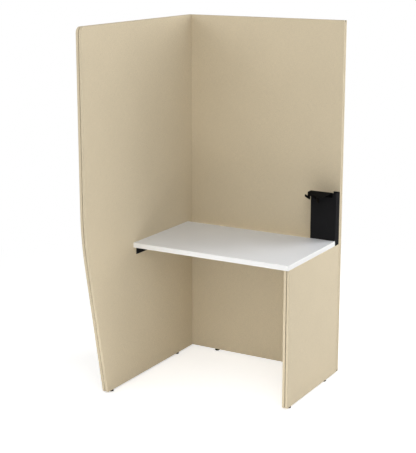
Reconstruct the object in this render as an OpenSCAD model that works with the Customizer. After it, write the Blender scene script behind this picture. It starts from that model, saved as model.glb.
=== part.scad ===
// Booth desk: a worktop between two upholstered screen panels and a low end panel.
// Millimetres. +Z is up, the booth is open towards -Y, and the origin is on the floor
// under the middle of the whole booth.

/* [Booth] */
// Overall width, over the outer faces of the side panel and the end panel
booth_w = 890; // [700:10:1200]
// Overall depth, from the side panel's front edge to the back panel's rear face
booth_d = 1000; // [900:10:1300]
// Overall height above the floor
booth_h = 1810; // [1500:10:2100]
// Height of the panels' lower edge above the floor, which the feet make up
foot_h = 10; // [9:1:16]

/* [Panels] */
// Thickness of a finished panel
panel_t = 30; // [28:1:40]
// Thickness of the board inside a panel
core_t = 16; // [14:1:18]
// Width of the padded rim that wraps the board's edge
rim_w = 8; // [7:0.5:12]
// Width of the dark joint line between the two covers of a panel
groove_w = 3; // [1.5:0.5:3.5]
// Depth of that joint line, down to the board's tongue
groove_d = 4; // [3.5:0.5:5]
// Radius of a cover's edge towards its face
face_r = 3.5; // [2.5:0.5:6.5]
// Radius of a cover's edge towards the joint line
lip_r = 1.5; // [1:0.5:3]
// Corner radius of the panels' plain corners
plain_r = 3; // [2:0.5:6]

/* [Side panel outline] */
// Height where the front edge starts to lean back
waist_h = 820; // [700:10:900]
// How far the front edge leans back at its lower end
lean_back = 152; // [80:2:220]
// Radius of the soft bend at that height
waist_r = 1500; // [600:50:1800]
// Radius of the upper front corner
crown_r = 28; // [20:1:80]
// Radius of the lower front corner
toe_r = 12; // [9:1:30]

/* [End panel] */
// Depth of the low panel under the worktop's right end
end_d = 560; // [450:5:640]

/* [Worktop] */
// Height of the worktop's upper face
desk_h = 720; // [650:5:760]
// Depth of the worktop
desk_d = 526; // [440:2:640]
// Thickness of the worktop
desk_t = 25; // [20:1:32]
// Gap for cables between the worktop and the back panel
wire_gap = 47; // [35:1:60]
// Thickness of the edge band
band_t = 2; // [1:0.5:3]
// Radius of the edge band's long edges
band_r = 1.5; // [0.5:0.25:2]
// Gap between the worktop and the side panel
desk_gap = 0.4; // [0.2:0.1:0.8]

/* [Steel angles] */
// Upright leg of the angles under the worktop
angle_up = 40; // [28:1:44]
// Flat leg of the angles under the worktop
angle_flat = 30; // [26:1:40]
// Thickness of the angles
angle_t = 2.5; // [2:0.5:4]
// Length of the long angle on the side panel
rail_l = 450; // [300:10:480]
// How far the long angle stands back from the worktop's front edge
rail_setback = 25; // [15:5:60]
// Length of a short bracket on the end panel
bracket_l = 60; // [50:2:90]
// Distance of the short brackets from the end panel's front and rear edges
bracket_inset = 60; // [40:5:120]
// Shank radius of the wood screws
screw_r = 2; // [1.5:0.25:2.5]
// Length of the wood screws under the head
screw_l = 16; // [12:1:20]

/* [Cable post] */
// Width of the cable post's front
post_w = 137; // [110:1:200]
// Height of the cable post above the worktop
post_rise = 244; // [180:2:320]
// Width of the flange that holds the post to the back panel
post_flange = 34; // [24:1:50]
// How far the post stands in from the right end of the booth
post_inset = 1; // [0.5:0.5:4]
// Sheet thickness of the post
sheet_t = 2; // [1.2:0.2:3]

/* [Hook bracket] */
// Width of the bracket's plate along the post
hook_w = 118; // [100:1:130]
// Depth of the plate at its left side
hook_left_d = 43; // [30:1:60]
// Thickness of the bracket's steel
hook_t = 3; // [2:0.5:4]
// How far the plate's upper face stands above the post's top
hook_lift = 3; // [0:0.5:5]
// Height of the flange along the plate's slanted front
hook_lip = 13; // [9:1:18]
// Height of the ear at the plate's front corner
ear_h = 24; // [20:1:34]
// Width of that ear
ear_w = 38; // [28:1:50]
// Drop of the hook below the plate
hook_drop = 32; // [28:1:40]
// Width of the hook
hook_tongue_w = 36; // [24:1:44]
// How far the hook's nose stands out from its leg
hook_reach = 15; // [13:1:28]
// How far the hook's bottom rises towards its nose
hook_rise = 8; // [4:1:14]
// Height of the hook's upright nose
hook_nose = 12; // [7:1:16]

/* [Feet] */
// Radius of a foot's pad
pad_r = 12.5; // [11:0.5:14]
// Radius of a foot's threaded stem
stem_r = 4; // [3:0.5:4.5]
// Travel of a foot when it is screwed out
foot_travel = 12; // [8:1:14]

/* [Hidden] */

// Where the main faces lie
x_left = -booth_w / 2;
x_right = booth_w / 2;
x_in = x_left + panel_t;
x_end = x_right - panel_t;
y_rear = booth_d / 2;
y_wall = y_rear - panel_t;
side_d = booth_d - panel_t;
end_h = desk_h - desk_t;
half_t = panel_t / 2;
x_side_mid = x_left + half_t;
x_end_mid = x_right - half_t;
y_back_mid = y_rear - half_t;
y_desk_rear = y_wall - wire_gap;
y_desk_front = y_desk_rear - desk_d;

// Fits between pieces
board_gap = 0.3;
hole_gap = 0.3;
running_gap = 0.1;
seat_gap = 0.3;
arc_steps = 6;
rim_steps = 4;
fine = 48;

// Panel outlines, anticlockwise, as [across, up, corner radius]
side_outline = [
    [y_wall - side_d + lean_back, foot_h, toe_r],
    [y_wall, foot_h, plain_r],
    [y_wall, booth_h, plain_r],
    [y_wall - side_d, booth_h, crown_r],
    [y_wall - side_d, waist_h, waist_r]];
back_outline = [
    [x_left, foot_h, plain_r],
    [x_right, foot_h, plain_r],
    [x_right, booth_h, plain_r],
    [x_left, booth_h, plain_r]];
end_outline = [
    [y_wall - end_d, foot_h, plain_r],
    [y_wall, foot_h, plain_r],
    [y_wall, end_h, plain_r],
    [y_wall - end_d, end_h, plain_r]];

// Bolts that join the panels at the two rear corners
bolt_r = 3;
bolt_head_r = 8;
bolt_head_t = 2.5;
bolt_into = 26;
bolt_socket_r = 2.3;
nut_r = 5;
nut_l = 18;
bolt_count = 4;
bolt_end_d = 120;
end_bolt_d = 90;
side_bolt_step = (booth_h - foot_h - 2 * bolt_end_d) / (bolt_count - 1);
side_bolt_z = [for (k = [0:bolt_count - 1]) foot_h + bolt_end_d + k * side_bolt_step];
end_bolt_z = [foot_h + end_bolt_d, end_h - bolt_end_d];
head_seat_y = y_rear - half_t + core_t / 2;
bolt_places = concat([for (z = side_bolt_z) [x_side_mid, z]], [for (z = end_bolt_z) [x_end_mid, z]]);

// Black plugs that close the joint line at the back panel's four corners
plug_inset = 0.8;
plug_l = 8;
plug_w = 9;

// Feet, as [x, y] at the middle of each panel's thickness
side_foot_inset = [52, 143];
back_foot_inset = 179;
end_foot_inset = [42, 115];
side_toe_y = y_wall - side_d + lean_back;
side_foot_y = [side_toe_y + side_foot_inset[0], y_wall - side_foot_inset[1]];
back_foot_x = [x_left + back_foot_inset, x_right - back_foot_inset];
end_foot_y = [y_wall - end_d + end_foot_inset[0], y_wall - end_foot_inset[1]];
foot_places = [
    [x_side_mid, side_foot_y[0]], [x_side_mid, side_foot_y[1]],
    [back_foot_x[0], y_back_mid], [back_foot_x[1], y_back_mid],
    [x_end_mid, end_foot_y[0]], [x_end_mid, end_foot_y[1]]];
foot_nut_r = 6;
foot_nut_l = 20;
foot_nut_z = foot_h + rim_w + board_gap;
stem_top = foot_nut_z + foot_nut_l + foot_travel + 2;
stem_hole_r = stem_r + 0.6;
pad_h = foot_h - seat_gap;
pad_web = 2.5;
pad_rim_h = 4;
pad_disc_h = 6;
pad_slope = 2.5;
pad_neck_r = 9;

// Screws of the angles under the worktop
screw_head_r = 4;
screw_head_t = 2;
bend_r = 1.5;
rail_hole_d = 40;
bracket_hole_d = 15;
leg_share = 0.6;
leg_screw_z = end_h - angle_up * leg_share;
leg_screw_x = angle_flat * leg_share;
rail_y0 = y_desk_front + rail_setback;
rail_screw_y = [for (k = [0:2]) rail_y0 + rail_hole_d + k * (rail_l / 2 - rail_hole_d)];
bracket_y0 = [y_wall - end_d + bracket_inset, y_wall - bracket_inset - wire_gap - bracket_l];
bracket_holes = [bracket_hole_d, bracket_l - bracket_hole_d];
bracket_screw_y = [for (y = bracket_y0) for (e = bracket_holes) y + e];

// Cable post
post_x1 = x_right - post_inset;
post_x0 = post_x1 - post_w;
post_top = desk_h + post_rise;
post_face_y = y_desk_rear + seat_gap;
post_screw_z = [end_h + 60, (end_h + post_top) / 2, post_top - 40];
post_screw_x = post_x1 - post_flange / 2 - sheet_t / 2;

// Hook bracket: its plate's corners, seen from above
hook_top = post_top + hook_lift;
hook_y0 = post_face_y - hook_left_d;
hook_x1 = post_x0 + hook_w;
hook_flange = 26;
slant_l = floor(hook_w * sqrt(2));
hook_mid = hook_t / 2;
hook_bend = 1 + hook_mid;
leg_inset = 0.5;
end_relief = 2;
relief_w = 1;
hook_end_u = end_relief + hook_tongue_w;
rivet_inset = 22;
rivet_x = [post_x0 + rivet_inset, hook_x1 - rivet_inset];
rivet_z = post_top - 16;
rivet_r = 2;
rivet_head_r = 4;

// Unit vector and its left-hand normal
function unit(v) = v / norm(v);
function left_of(v) = [-v[1], v[0]];

// Points of a rounded corner at p between prev and next, moved to the left by shift
function bend_points(prev, p, next, r, shift, n) =
    let(a = unit(prev - p), b = unit(next - p))
    let(turn = cross(-a, b) >= 0 ? 1 : -1)
    let(half = acos(max(-1, min(1, a * b))) / 2)
    let(big = max(r, turn * shift + 0.5))
    let(c = p + unit(a + b) * big / sin(half))
    let(d = -turn * left_of(-a), start = atan2(d[1], d[0]))
    let(sweep = turn * (180 - 2 * half), rs = big - turn * shift)
    [for (k = [0:n]) c + rs * [cos(start + sweep * k / n), sin(start + sweep * k / n)]];

// A closed outline drawn in by shift, each corner with its own radius
function drawn_in(corners, shift, n = arc_steps) =
    let(m = len(corners))
    [for (i = [0:m - 1])
        let(q = corners[(i + m - 1) % m], p = corners[i], s = corners[(i + 1) % m])
        each bend_points([q[0], q[1]], [p[0], p[1]], [s[0], s[1]], p[2], shift, n)];

// One side of a bent strip whose middle line is path
function strip_side(path, r, shift) =
    let(m = len(path), first = unit(path[1] - path[0]), last = unit(path[m - 1] - path[m - 2]))
    concat([path[0] + left_of(first) * shift],
        [for (i = [1:1:m - 2]) each bend_points(path[i - 1], path[i], path[i + 1], r, shift, arc_steps)],
        [path[m - 1] + left_of(last) * shift]);

function reversed(list) = [for (i = [len(list) - 1:-1:0]) list[i]];

// Profile of bent sheet of thickness t, with the bend radius r at its middle line
module sheet_profile(path, t, r) {
    polygon(concat(strip_side(path, r, -t / 2), reversed(strip_side(path, r, t / 2))));
}

// A solid through rings of equal count, closed at both ends, or into a loop
module loft(rings, loop = false) {
    m = len(rings[0]);
    k = len(rings);
    points = [for (ring = rings) each ring];
    last = loop ? k - 1 : k - 2;
    walls = [for (j = [0:last]) for (i = [0:m - 1])
        let(a = j * m + i, b = j * m + (i + 1) % m)
        let(c = ((j + 1) % k) * m + (i + 1) % m, d = ((j + 1) % k) * m + i)
        each [[a, c, b], [a, d, c]]];
    ends = [[for (i = [0:m - 1]) i], [for (i = [m - 1:-1:0]) (k - 1) * m + i]];
    polyhedron(points, loop ? walls : concat(walls, ends), convexity = 6);
}

// A cover's section, from the board's face round the rim to the cover's own face,
// as [height above the panel's middle plane, distance in from the outline]
function cover_section() = concat(
    [[core_t / 2, rim_w], [groove_w / 2, rim_w], [groove_w / 2, lip_r]],
    [for (k = [1:2]) let(a = 45 * k) [groove_w / 2 + lip_r * (1 - cos(a)), lip_r * (1 - sin(a))]],
    [for (k = [0:rim_steps]) let(a = 90 * k / rim_steps)
        [half_t - face_r + face_r * sin(a), face_r * (1 - cos(a))]]);

module cover_shell(outline) {
    loft([for (s = cover_section()) [for (p = drawn_in(outline, s[1])) [p[0], p[1], s[0]]]]);
}

// The board inside a panel: a thick board with a thin tongue that ends in the joint line
module core_shape(outline) {
    translate([0, 0, -core_t / 2])
        linear_extrude(core_t) polygon(drawn_in(outline, rim_w + board_gap));
    translate([0, 0, -groove_w / 2])
        linear_extrude(groove_w) polygon(drawn_in(outline, groove_d));
}

// Stands a flat shape up: across becomes Y, up becomes Z and thickness becomes X
module stand_side(x) { translate([x, 0, 0]) rotate([90, 0, 90]) children(); }
// The same for the back panel: across is X, and thickness points to the front
module stand_back() { translate([0, y_back_mid, 0]) rotate([90, 0, 0]) children(); }

// Round rods and holes along each axis
module rod_y(x, y0, z, r, l) {
    translate([x, y0, z]) rotate([-90, 0, 0]) cylinder(h = l, r = r, $fn = fine);
}
module rod_x(x0, y, z, r, l) {
    translate([x0, y, z]) rotate([0, 90, 0]) cylinder(h = l, r = r, $fn = fine);
}
module rod_z(x, y, z0, r, l) {
    translate([x, y, z0]) cylinder(h = l, r = r, $fn = fine);
}

// Everything that is drilled through the panels
module foot_holes() {
    for (f = foot_places) {
        rod_z(f[0], f[1], foot_h - 1, stem_hole_r, stem_top - foot_h + 4);
        rod_z(f[0], f[1], foot_nut_z - 1, foot_nut_r, foot_nut_l + 1);
    }
}
module bolt_holes() {
    for (b = bolt_places) {
        rod_y(b[0], y_wall - bolt_into - 3, b[1], bolt_r + hole_gap, bolt_into + panel_t + 4);
        rod_y(b[0], head_seat_y, b[1], bolt_head_r + hole_gap, half_t);
        rod_y(b[0], y_wall - rim_w - board_gap - nut_l, b[1], nut_r, nut_l + 1);
    }
}
module rail_wall_holes() {
    for (y = rail_screw_y) rod_x(x_in - screw_l, y, leg_screw_z, screw_r, screw_l + 1);
}
module bracket_wall_holes() {
    for (y = bracket_screw_y) rod_x(x_end - 1, y, leg_screw_z, screw_r, screw_l + 1);
}
module post_wall_holes() { for (z = post_screw_z) rod_y(post_screw_x, y_wall - 1, z, screw_r, screw_l + 1); }
module desk_holes() {
    for (y = rail_screw_y) rod_z(x_in + leg_screw_x, y, end_h - 1, screw_r, screw_l - angle_t + 1);
    for (y = bracket_screw_y) rod_z(x_end - leg_screw_x, y, end_h - 1, screw_r, screw_l - angle_t + 1);
}

// Tall side panel on the left
module side_core() {
    color("dimgray") difference() {
        stand_side(x_side_mid) core_shape(side_outline);
        foot_holes();
        bolt_holes();
        rail_wall_holes();
    }
}
module side_inner_cover() {
    color("wheat") difference() {
        stand_side(x_side_mid) cover_shell(side_outline);
        foot_holes();
        bolt_holes();
        rail_wall_holes();
    }
}
module side_outer_cover() {
    color("wheat") difference() {
        stand_side(x_side_mid) mirror([0, 0, 1]) cover_shell(side_outline);
        foot_holes();
        bolt_holes();
    }
}

// Tall back panel
module back_core() {
    color("dimgray") difference() {
        stand_back() core_shape(back_outline);
        plug_boxes();
        foot_holes();
        bolt_holes();
        post_wall_holes();
    }
}
module back_inner_cover() {
    color("wheat") difference() {
        stand_back() cover_shell(back_outline);
        plug_boxes();
        foot_holes();
        bolt_holes();
        post_wall_holes();
    }
}
module back_outer_cover() {
    color("wheat") difference() {
        stand_back() mirror([0, 0, 1]) cover_shell(back_outline);
        plug_boxes();
        foot_holes();
        bolt_holes();
    }
}

// Low end panel under the worktop's right end
module end_core() {
    color("dimgray") difference() {
        stand_side(x_end_mid) core_shape(end_outline);
        foot_holes();
        bolt_holes();
        bracket_wall_holes();
    }
}
module end_inner_cover() {
    color("wheat") difference() {
        stand_side(x_end_mid) mirror([0, 0, 1]) cover_shell(end_outline);
        foot_holes();
        bolt_holes();
        bracket_wall_holes();
    }
}
module end_outer_cover() {
    color("wheat") difference() {
        stand_side(x_end_mid) cover_shell(end_outline);
        foot_holes();
        bolt_holes();
    }
}

// Flat-headed bolts through the back panel into the side and end panels
module corner_bolts() {
    socket_d = bolt_head_t - 0.5;
    color("silver") for (b = bolt_places) difference() {
        union() {
            rod_y(b[0], y_wall - bolt_into, b[1], bolt_r, head_seat_y - y_wall + bolt_into + 1);
            rod_y(b[0], head_seat_y, b[1], bolt_head_r, bolt_head_t);
        }
        translate([b[0], head_seat_y + bolt_head_t + 1, b[1]])
            rotate([90, 0, 0]) cylinder(h = socket_d + 1, r = bolt_socket_r, $fn = 6);
    }
}
module corner_nuts() {
    color("gold") for (b = bolt_places) difference() {
        rod_y(b[0], y_wall - rim_w - board_gap - nut_l, b[1], nut_r, nut_l);
        rod_y(b[0], y_wall - rim_w - board_gap - nut_l - 1, b[1], bolt_r, nut_l + 2);
    }
}
module bolt_caps() {
    cap_t = half_t - core_t / 2 - bolt_head_t;
    color("tan") for (b = bolt_places)
        translate([b[0], y_rear - cap_t, b[1]]) rotate([-90, 0, 0]) rotate_extrude($fn = fine)
            polygon([[0, 0], [bolt_head_r, 0], [bolt_head_r, cap_t - 1],
                [bolt_head_r - 1, cap_t], [0, cap_t]]);
}

// The room at the back panel's corners that its plugs take up
module plug_boxes() {
    depth = plug_inset + plug_l;
    for (x = [x_left - 1, x_right - depth]) for (z = [foot_h - 1, booth_h - depth])
        translate([x, y_back_mid - plug_w / 2, z]) cube([depth + 1, plug_w, depth + 1]);
}
module corner_plugs() {
    color("#202020") intersection() {
        stand_back() translate([0, 0, -plug_w]) linear_extrude(2 * plug_w)
            polygon(drawn_in(back_outline, plug_inset));
        plug_boxes();
    }
}

// Worktop: a board and the band round its four edges
function desk_outline() = [
    [x_in + desk_gap, y_desk_front, plain_r],
    [x_right, y_desk_front, plain_r],
    [x_right, y_desk_rear, plain_r],
    [x_in + desk_gap, y_desk_rear, plain_r]];
module worktop_board() {
    color("white") difference() {
        translate([0, 0, end_h]) linear_extrude(desk_t) polygon(drawn_in(desk_outline(), band_t));
        desk_holes();
    }
}
module worktop_edge_band() {
    section = concat([[0, band_t]],
        [for (k = [0:2]) let(a = 45 * k) [band_r * (1 - cos(a)), band_r * (1 - sin(a))]],
        [for (k = [0:2]) let(a = 45 * k) [desk_t - band_r * (1 - sin(a)), band_r * (1 - cos(a))]],
        [[desk_t, band_t]]);
    color("whitesmoke") loft([for (s = section)
        [for (p = drawn_in(desk_outline(), s[1], 3)) [p[0], p[1], end_h + s[0]]]], loop = true);
}

// Steel angle that runs from y0 for length l, with its upright leg on the wall at x.
// toward is +1 where the flat leg points to +X, and -1 where it points to -X.
module steel_angle(x, toward, y0, l, holes_y) {
    difference() {
        translate([x, y0, end_h]) mirror([toward < 0 ? 1 : 0, 0, 0])
            translate([0, l, 0]) rotate([90, 0, 0]) linear_extrude(l)
                sheet_profile([[angle_t / 2, -angle_up], [angle_t / 2, -angle_t / 2],
                    [angle_flat, -angle_t / 2]], angle_t, bend_r + angle_t / 2);
        for (y = holes_y) {
            rod_x(x - angle_t * 1.5, y, leg_screw_z, screw_r + hole_gap, angle_t * 3);
            rod_z(x + toward * leg_screw_x, y, end_h - angle_t - 1, screw_r + hole_gap, angle_t + 2);
        }
    }
}
// A pan-headed screw along +Z from the head's seat at the origin
module wood_screw() {
    cylinder(h = screw_l, r = screw_r, $fn = fine);
    translate([0, 0, -screw_head_t]) rotate_extrude($fn = fine)
        polygon([[0, 0], [screw_head_r * 0.7, 0], [screw_head_r, screw_head_t * 0.5],
            [screw_head_r, screw_head_t], [0, screw_head_t]]);
}
module side_rail() { color("#222222") steel_angle(x_in, 1, rail_y0, rail_l, rail_screw_y); }
module side_rail_screws() {
    color("#333333") for (y = rail_screw_y) {
        translate([x_in + angle_t, y, leg_screw_z]) rotate([0, -90, 0]) wood_screw();
        translate([x_in + leg_screw_x, y, end_h - angle_t]) wood_screw();
    }
}
module end_brackets() {
    color("#222222") for (k = [0:1])
        steel_angle(x_end, -1, bracket_y0[k], bracket_l, [for (e = bracket_holes) bracket_y0[k] + e]);
}
module end_bracket_screws() {
    color("#333333") for (y = bracket_screw_y) {
        translate([x_end - angle_t, y, leg_screw_z]) rotate([0, 90, 0]) wood_screw();
        translate([x_end - leg_screw_x, y, end_h - angle_t]) wood_screw();
    }
}

// Cable post: one folded sheet, open on its left side, standing on the end panel
module cable_post() {
    mid = sheet_t / 2;
    color("#262626") difference() {
        translate([0, 0, end_h]) linear_extrude(post_top - end_h)
            sheet_profile([[post_x0, post_face_y + mid], [post_x1 - mid, post_face_y + mid],
                [post_x1 - mid, y_wall - mid], [post_x1 - post_flange, y_wall - mid]],
                sheet_t, bend_r + mid);
        for (z = post_screw_z) rod_y(post_screw_x, y_wall - sheet_t - 1, z, screw_r + hole_gap, sheet_t + 2);
        for (x = rivet_x) rod_y(x, post_face_y - 1, rivet_z, rivet_r + hole_gap, sheet_t + 2);
    }
}
module cable_post_screws() {
    color("#333333") for (z = post_screw_z)
        translate([post_screw_x, y_wall - sheet_t, z]) rotate([-90, 0, 0]) wood_screw();
}

// Hook bracket: a plate with a slanted front and a flange on the post. Under the slanted edge
// it has a hook at the left, a lip along the middle and an ear at the right.
module hook_bracket() {
    leg = -leg_inset - hook_mid;
    ear_u0 = slant_l - end_relief - ear_w;
    color("#1c1c1c") difference() {
        union() {
            difference() {
                translate([post_x0, 0, 0]) rotate([90, 0, 90]) linear_extrude(hook_w)
                    sheet_profile([[hook_y0 - hook_w, hook_top - hook_mid],
                        [post_face_y - hook_mid, hook_top - hook_mid],
                        [post_face_y - hook_mid, hook_top - hook_flange]], hook_t, hook_bend);
                slant_place(-hook_w) translate([0, -2 * hook_w, -2 * hook_t])
                    cube([4 * hook_w, 2 * hook_w, 4 * hook_t]);
            }
            slant_strip(end_relief, hook_end_u, [[leg, -hook_mid], [leg, -hook_drop],
                [leg + hook_reach, hook_rise - hook_drop],
                [leg + hook_reach, hook_rise + hook_nose - hook_drop]]);
            slant_strip(hook_end_u + relief_w, ear_u0 - relief_w, [[leg, -hook_mid], [leg, -hook_lip]]);
            slant_strip(ear_u0, slant_l - end_relief, [[leg, -hook_mid], [leg, -ear_h]]);
        }
        for (x = rivet_x) rod_y(x, post_face_y - hook_t - 1, rivet_z, rivet_r + hole_gap, hook_t + 2);
    }
}
// The frame of the plate's slanted front: X runs along it from its left end, Z is up from
// the plate's top, and -Y points outwards
module slant_place(u) {
    translate([post_x0, hook_y0, hook_top]) rotate([0, 0, -45]) translate([u, 0, 0]) children();
}
// A bent strip along the slanted front, between two distances from its left end.
// Its path is [outwards from the slanted edge, up from the plate's top].
module slant_strip(from, to, path) {
    slant_place(to) rotate([90, 0, -90]) linear_extrude(to - from) sheet_profile(path, hook_t, hook_bend);
}
module hook_rivets() {
    color("#333333") for (x = rivet_x) {
        rod_y(x, post_face_y - hook_t, rivet_z, rivet_r, hook_t + sheet_t + 1);
        translate([x, post_face_y - hook_t, rivet_z]) rotate([90, 0, 0]) rotate_extrude($fn = fine)
            polygon([[0, 0], [rivet_head_r, 0], [rivet_head_r * 0.8, 1], [0, 1.4]]);
        rod_y(x, post_face_y + sheet_t, rivet_z, rivet_head_r * 0.8, 1);
    }
}

// Threaded nuts in the boards' lower edges
module foot_nuts() {
    color("gold") for (f = foot_places) difference() {
        rod_z(f[0], f[1], foot_nut_z, foot_nut_r, foot_nut_l);
        rod_z(f[0], f[1], foot_nut_z - 1, stem_r + running_gap, foot_nut_l + 2);
    }
}
// A foot: a turned pad with a six-sided neck, and the stem moulded into it
module pad(f) {
    color("#202020") translate([f[0], f[1], 0]) difference() {
        union() {
            rotate_extrude($fn = fine) polygon([[0, 0], [pad_r - 1, 0], [pad_r, 1], [pad_r, pad_rim_h],
                [pad_r - pad_slope, pad_disc_h], [0, pad_disc_h]]);
            translate([0, 0, pad_rim_h]) cylinder(h = pad_h - pad_rim_h, r = pad_neck_r, $fn = 6);
        }
        translate([0, 0, pad_web]) cylinder(h = pad_h, r = stem_r, $fn = fine);
    }
}
module stem(f) {
    color("silver") translate([f[0], f[1], 0]) rotate_extrude($fn = fine)
        polygon([[0, pad_web], [stem_r, pad_web], [stem_r, stem_top - 1],
            [stem_r - 1, stem_top], [0, stem_top]]);
}
module side_front_pad() { pad(foot_places[0]); }
module side_rear_pad() { pad(foot_places[1]); }
module back_left_pad() { pad(foot_places[2]); }
module back_right_pad() { pad(foot_places[3]); }
module end_front_pad() { pad(foot_places[4]); }
module end_rear_pad() { pad(foot_places[5]); }
module side_front_stem() { stem(foot_places[0]); }
module side_rear_stem() { stem(foot_places[1]); }
module back_left_stem() { stem(foot_places[2]); }
module back_right_stem() { stem(foot_places[3]); }
module end_front_stem() { stem(foot_places[4]); }
module end_rear_stem() { stem(foot_places[5]); }

side_core();
side_inner_cover();
side_outer_cover();
back_core();
back_inner_cover();
back_outer_cover();
end_core();
end_inner_cover();
end_outer_cover();
corner_bolts();
corner_nuts();
bolt_caps();
worktop_board();
worktop_edge_band();
side_rail();
side_rail_screws();
end_brackets();
end_bracket_screws();
cable_post();
cable_post_screws();
hook_bracket();
hook_rivets();
foot_nuts();
corner_plugs();
side_front_pad();
side_rear_pad();
back_left_pad();
back_right_pad();
end_front_pad();
end_rear_pad();
side_front_stem();
side_rear_stem();
back_left_stem();
back_right_stem();
end_front_stem();
end_rear_stem();
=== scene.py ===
"""Looks of a booth desk: two tall covered screens, a low end panel, a white worktop,
a black cable post with a hook bracket, steel angles and six levelling feet.

Every size is in metres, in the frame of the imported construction: +Z is up, the booth is
open towards -Y, and the origin is on the floor under the middle of the booth.
"""

from __future__ import annotations

import logging
import math
from dataclasses import dataclass, field
from enum import Enum
from typing import Callable, Iterable, Sequence

import bmesh
import bpy
from mathutils import Matrix, Vector, noise


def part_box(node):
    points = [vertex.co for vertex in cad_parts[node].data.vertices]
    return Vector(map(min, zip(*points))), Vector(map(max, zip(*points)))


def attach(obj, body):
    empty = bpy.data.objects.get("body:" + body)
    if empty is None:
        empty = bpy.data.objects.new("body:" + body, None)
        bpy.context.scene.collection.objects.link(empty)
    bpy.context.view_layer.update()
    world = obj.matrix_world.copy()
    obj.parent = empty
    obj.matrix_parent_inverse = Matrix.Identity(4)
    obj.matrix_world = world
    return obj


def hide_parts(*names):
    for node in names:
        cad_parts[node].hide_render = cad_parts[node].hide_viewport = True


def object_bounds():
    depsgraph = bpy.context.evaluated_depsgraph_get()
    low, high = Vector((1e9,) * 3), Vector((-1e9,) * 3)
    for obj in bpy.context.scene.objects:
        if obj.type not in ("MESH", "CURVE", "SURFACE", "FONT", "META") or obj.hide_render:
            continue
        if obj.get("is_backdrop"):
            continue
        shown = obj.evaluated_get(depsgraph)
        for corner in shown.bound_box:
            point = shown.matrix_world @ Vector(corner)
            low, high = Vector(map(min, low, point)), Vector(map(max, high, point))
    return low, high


LOG = logging.getLogger("booth_desk")
MM = 0.001
SAME_PLACE = 1e-6
WELD = 0.005 * MM
SHARP = math.radians(60)
LEVEL_NORMAL = 0.9
WHITE, BLACK = (1.0, 1.0, 1.0), (0.0, 0.0, 0.0)
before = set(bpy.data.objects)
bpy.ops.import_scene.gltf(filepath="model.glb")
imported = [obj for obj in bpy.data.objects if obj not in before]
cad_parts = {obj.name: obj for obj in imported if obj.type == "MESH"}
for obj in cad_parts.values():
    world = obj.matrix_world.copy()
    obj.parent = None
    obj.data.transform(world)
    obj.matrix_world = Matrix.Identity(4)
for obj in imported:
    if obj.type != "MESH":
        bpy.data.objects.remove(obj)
CAD_BOX = [list(corner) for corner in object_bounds()]

Colour = tuple[float, float, float]
Part = bmesh.types.BMVert | bmesh.types.BMEdge | bmesh.types.BMFace
Point = tuple[float, float]
Socket = bpy.types.NodeSocket


def srgb(red: int, green: int, blue: int) -> Colour:
    """Turn a colour as the eye reads it on a screen into the linear one that shaders take.

    Args:
        red: Red from 0 to 255.
        green: Green from 0 to 255.
        blue: Blue from 0 to 255.

    Returns:
        The linear colour.
    """
    def linear(value: int) -> float:
        """Return one linear channel."""
        share = value / 255
        return share / 12.92 if share <= 0.04045 else ((share + 0.055) / 1.055) ** 2.4

    return (linear(red), linear(green), linear(blue))


def scaled(colour: Colour, factor: float) -> Colour:
    """Return the colour made lighter or darker by a factor."""
    return tuple(min(1.0, channel * factor) for channel in colour)


# Shader building


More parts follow.
